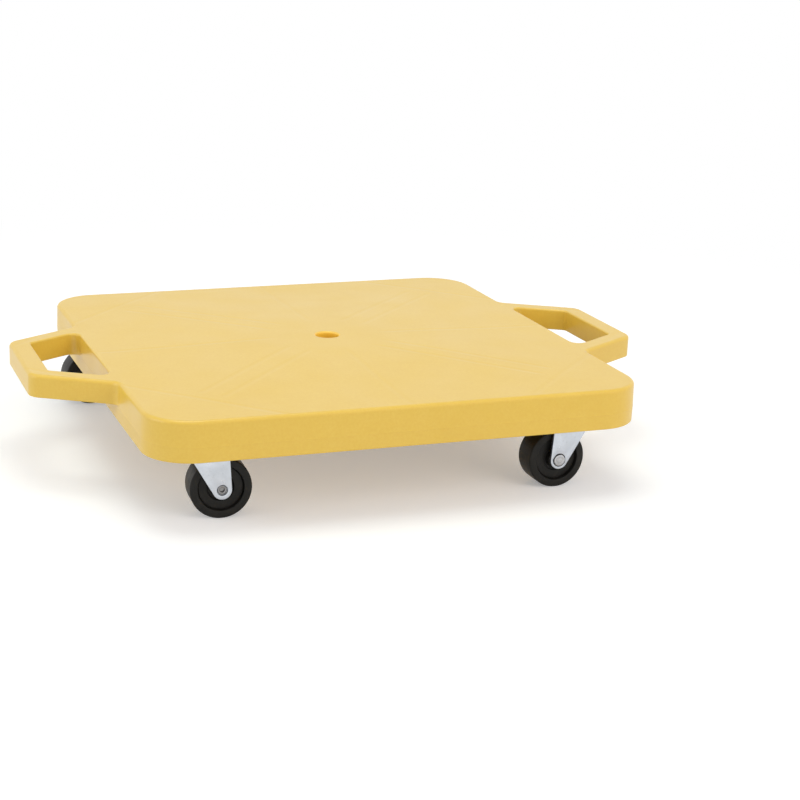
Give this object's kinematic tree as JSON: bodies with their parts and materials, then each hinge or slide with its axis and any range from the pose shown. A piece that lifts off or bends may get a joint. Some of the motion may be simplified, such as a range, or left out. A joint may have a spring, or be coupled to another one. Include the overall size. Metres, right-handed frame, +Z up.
{
  "type": "scooter board",
  "caption": "Square moulded plastic scooter board with a crowned ribbed deck, hand-hole handles at both sides and swivel casters at the corners.",
  "frame": {"origin": "on the floor, under the middle of the deck", "axes": "+X through both handles, to the right in the picture; +Y from the front edge to the rear edge; +Z up"},
  "size_m": [0.5338, 0.4064, 0.093],
  "materials": {
    "deck_plastic": "satin, fine moulded grain",
    "wheel_plastic": "satin",
    "zinc_steel": "bright zinc plate",
    "rivet_steel": "zinc plate, upset ends",
    "screw_steel": "zinc plate",
    "ball_steel": "polished"
  },
  "bodies": {
    "deck_body": {"deck": "deck_plastic", "front_left_caster_plate": "zinc_steel", "front_left_kingpin": "rivet_steel", "front_left_plate_screw_1": "screw_steel", "front_left_plate_screw_2": "screw_steel", "front_left_plate_screw_3": "screw_steel", "front_left_plate_screw_4": "screw_steel", "front_right_caster_plate": "zinc_steel", "front_right_kingpin": "rivet_steel", "front_right_plate_screw_1": "screw_steel", "front_right_plate_screw_2": "screw_steel", "front_right_plate_screw_3": "screw_steel", "front_right_plate_screw_4": "screw_steel", "rear_right_caster_plate": "zinc_steel", "rear_right_kingpin": "rivet_steel", "rear_right_plate_screw_1": "screw_steel", "rear_right_plate_screw_2": "screw_steel", "rear_right_plate_screw_3": "screw_steel", "rear_right_plate_screw_4": "screw_steel", "rear_left_caster_plate": "zinc_steel", "rear_left_kingpin": "rivet_steel", "rear_left_plate_screw_1": "screw_steel", "rear_left_plate_screw_2": "screw_steel", "rear_left_plate_screw_3": "screw_steel", "rear_left_plate_screw_4": "screw_steel"},
    "front_left_swivel_body": {"front_left_fork": "zinc_steel", "front_left_axle_sleeve": "rivet_steel", "front_left_axle_rivet": "rivet_steel"},
    "front_left_wheel_body": {"front_left_wheel": "wheel_plastic"},
    "front_left_ball_body": {"front_left_ball_ring": "ball_steel"},
    "front_right_swivel_body": {"front_right_fork": "zinc_steel", "front_right_axle_sleeve": "rivet_steel", "front_right_axle_rivet": "rivet_steel"},
    "front_right_wheel_body": {"front_right_wheel": "wheel_plastic"},
    "front_right_ball_body": {"front_right_ball_ring": "ball_steel"},
    "rear_right_swivel_body": {"rear_right_fork": "zinc_steel", "rear_right_axle_sleeve": "rivet_steel", "rear_right_axle_rivet": "rivet_steel"},
    "rear_right_wheel_body": {"rear_right_wheel": "wheel_plastic"},
    "rear_right_ball_body": {"rear_right_ball_ring": "ball_steel"},
    "rear_left_swivel_body": {"rear_left_fork": "zinc_steel", "rear_left_axle_sleeve": "rivet_steel", "rear_left_axle_rivet": "rivet_steel"},
    "rear_left_wheel_body": {"rear_left_wheel": "wheel_plastic"},
    "rear_left_ball_body": {"rear_left_ball_ring": "ball_steel"}
  },
  "joints": [
    {"name": "front_left_swivel", "type": "hinge", "parent": "deck_body", "child": "front_left_swivel_body", "pos_m": [-0.1585, -0.1585, 0.052], "axis": [0, 0, 1], "continuous": true},
    {"name": "front_left_wheel_spin", "type": "hinge", "parent": "front_left_swivel_body", "child": "front_left_wheel_body", "pos_m": [-0.14064, -0.15969, 0.02429], "axis": [0.0663, 0.9978, 0], "continuous": true},
    {"name": "front_left_ball_race", "type": "hinge", "parent": "deck_body", "child": "front_left_ball_body", "pos_m": [-0.1585, -0.1585, 0.056], "axis": [0, 0, 1], "continuous": true},
    {"name": "front_right_swivel", "type": "hinge", "parent": "deck_body", "child": "front_right_swivel_body", "pos_m": [0.1585, -0.1585, 0.052], "axis": [0, 0, 1], "continuous": true},
    {"name": "front_right_wheel_spin", "type": "hinge", "parent": "front_right_swivel_body", "child": "front_right_wheel_body", "pos_m": [0.1406, -0.15878, 0.02429], "axis": [0.0157, -0.9999, 0], "continuous": true},
    {"name": "front_right_ball_race", "type": "hinge", "parent": "deck_body", "child": "front_right_ball_body", "pos_m": [0.1585, -0.1585, 0.056], "axis": [0, 0, 1], "continuous": true},
    {"name": "rear_right_swivel", "type": "hinge", "parent": "deck_body", "child": "rear_right_swivel_body", "pos_m": [0.1585, 0.1585, 0.052], "axis": [0, 0, 1], "continuous": true},
    {"name": "rear_right_wheel_spin", "type": "hinge", "parent": "rear_right_swivel_body", "child": "rear_right_wheel_body", "pos_m": [0.14082, 0.1613, 0.02429], "axis": [-0.1564, -0.9877, 0], "continuous": true},
    {"name": "rear_right_ball_race", "type": "hinge", "parent": "deck_body", "child": "rear_right_ball_body", "pos_m": [0.1585, 0.1585, 0.056], "axis": [0, 0, 1], "continuous": true},
    {"name": "rear_left_swivel", "type": "hinge", "parent": "deck_body", "child": "rear_left_swivel_body", "pos_m": [-0.1585, 0.1585, 0.052], "axis": [0, 0, 1], "continuous": true},
    {"name": "rear_left_wheel_spin", "type": "hinge", "parent": "rear_left_swivel_body", "child": "rear_left_wheel_body", "pos_m": [-0.17638, 0.15756, 0.02429], "axis": [0.0523, -0.9986, 0], "continuous": true},
    {"name": "rear_left_ball_race", "type": "hinge", "parent": "deck_body", "child": "rear_left_ball_body", "pos_m": [-0.1585, 0.1585, 0.056], "axis": [0, 0, 1], "continuous": true}
  ],
  "couplings": [
    {"joint": "front_left_ball_race", "follows": "front_left_swivel", "ratio": 0.5},
    {"joint": "front_right_ball_race", "follows": "front_right_swivel", "ratio": 0.5},
    {"joint": "rear_right_ball_race", "follows": "rear_right_swivel", "ratio": 0.5},
    {"joint": "rear_left_ball_race", "follows": "rear_left_swivel", "ratio": 0.5}
  ]
}
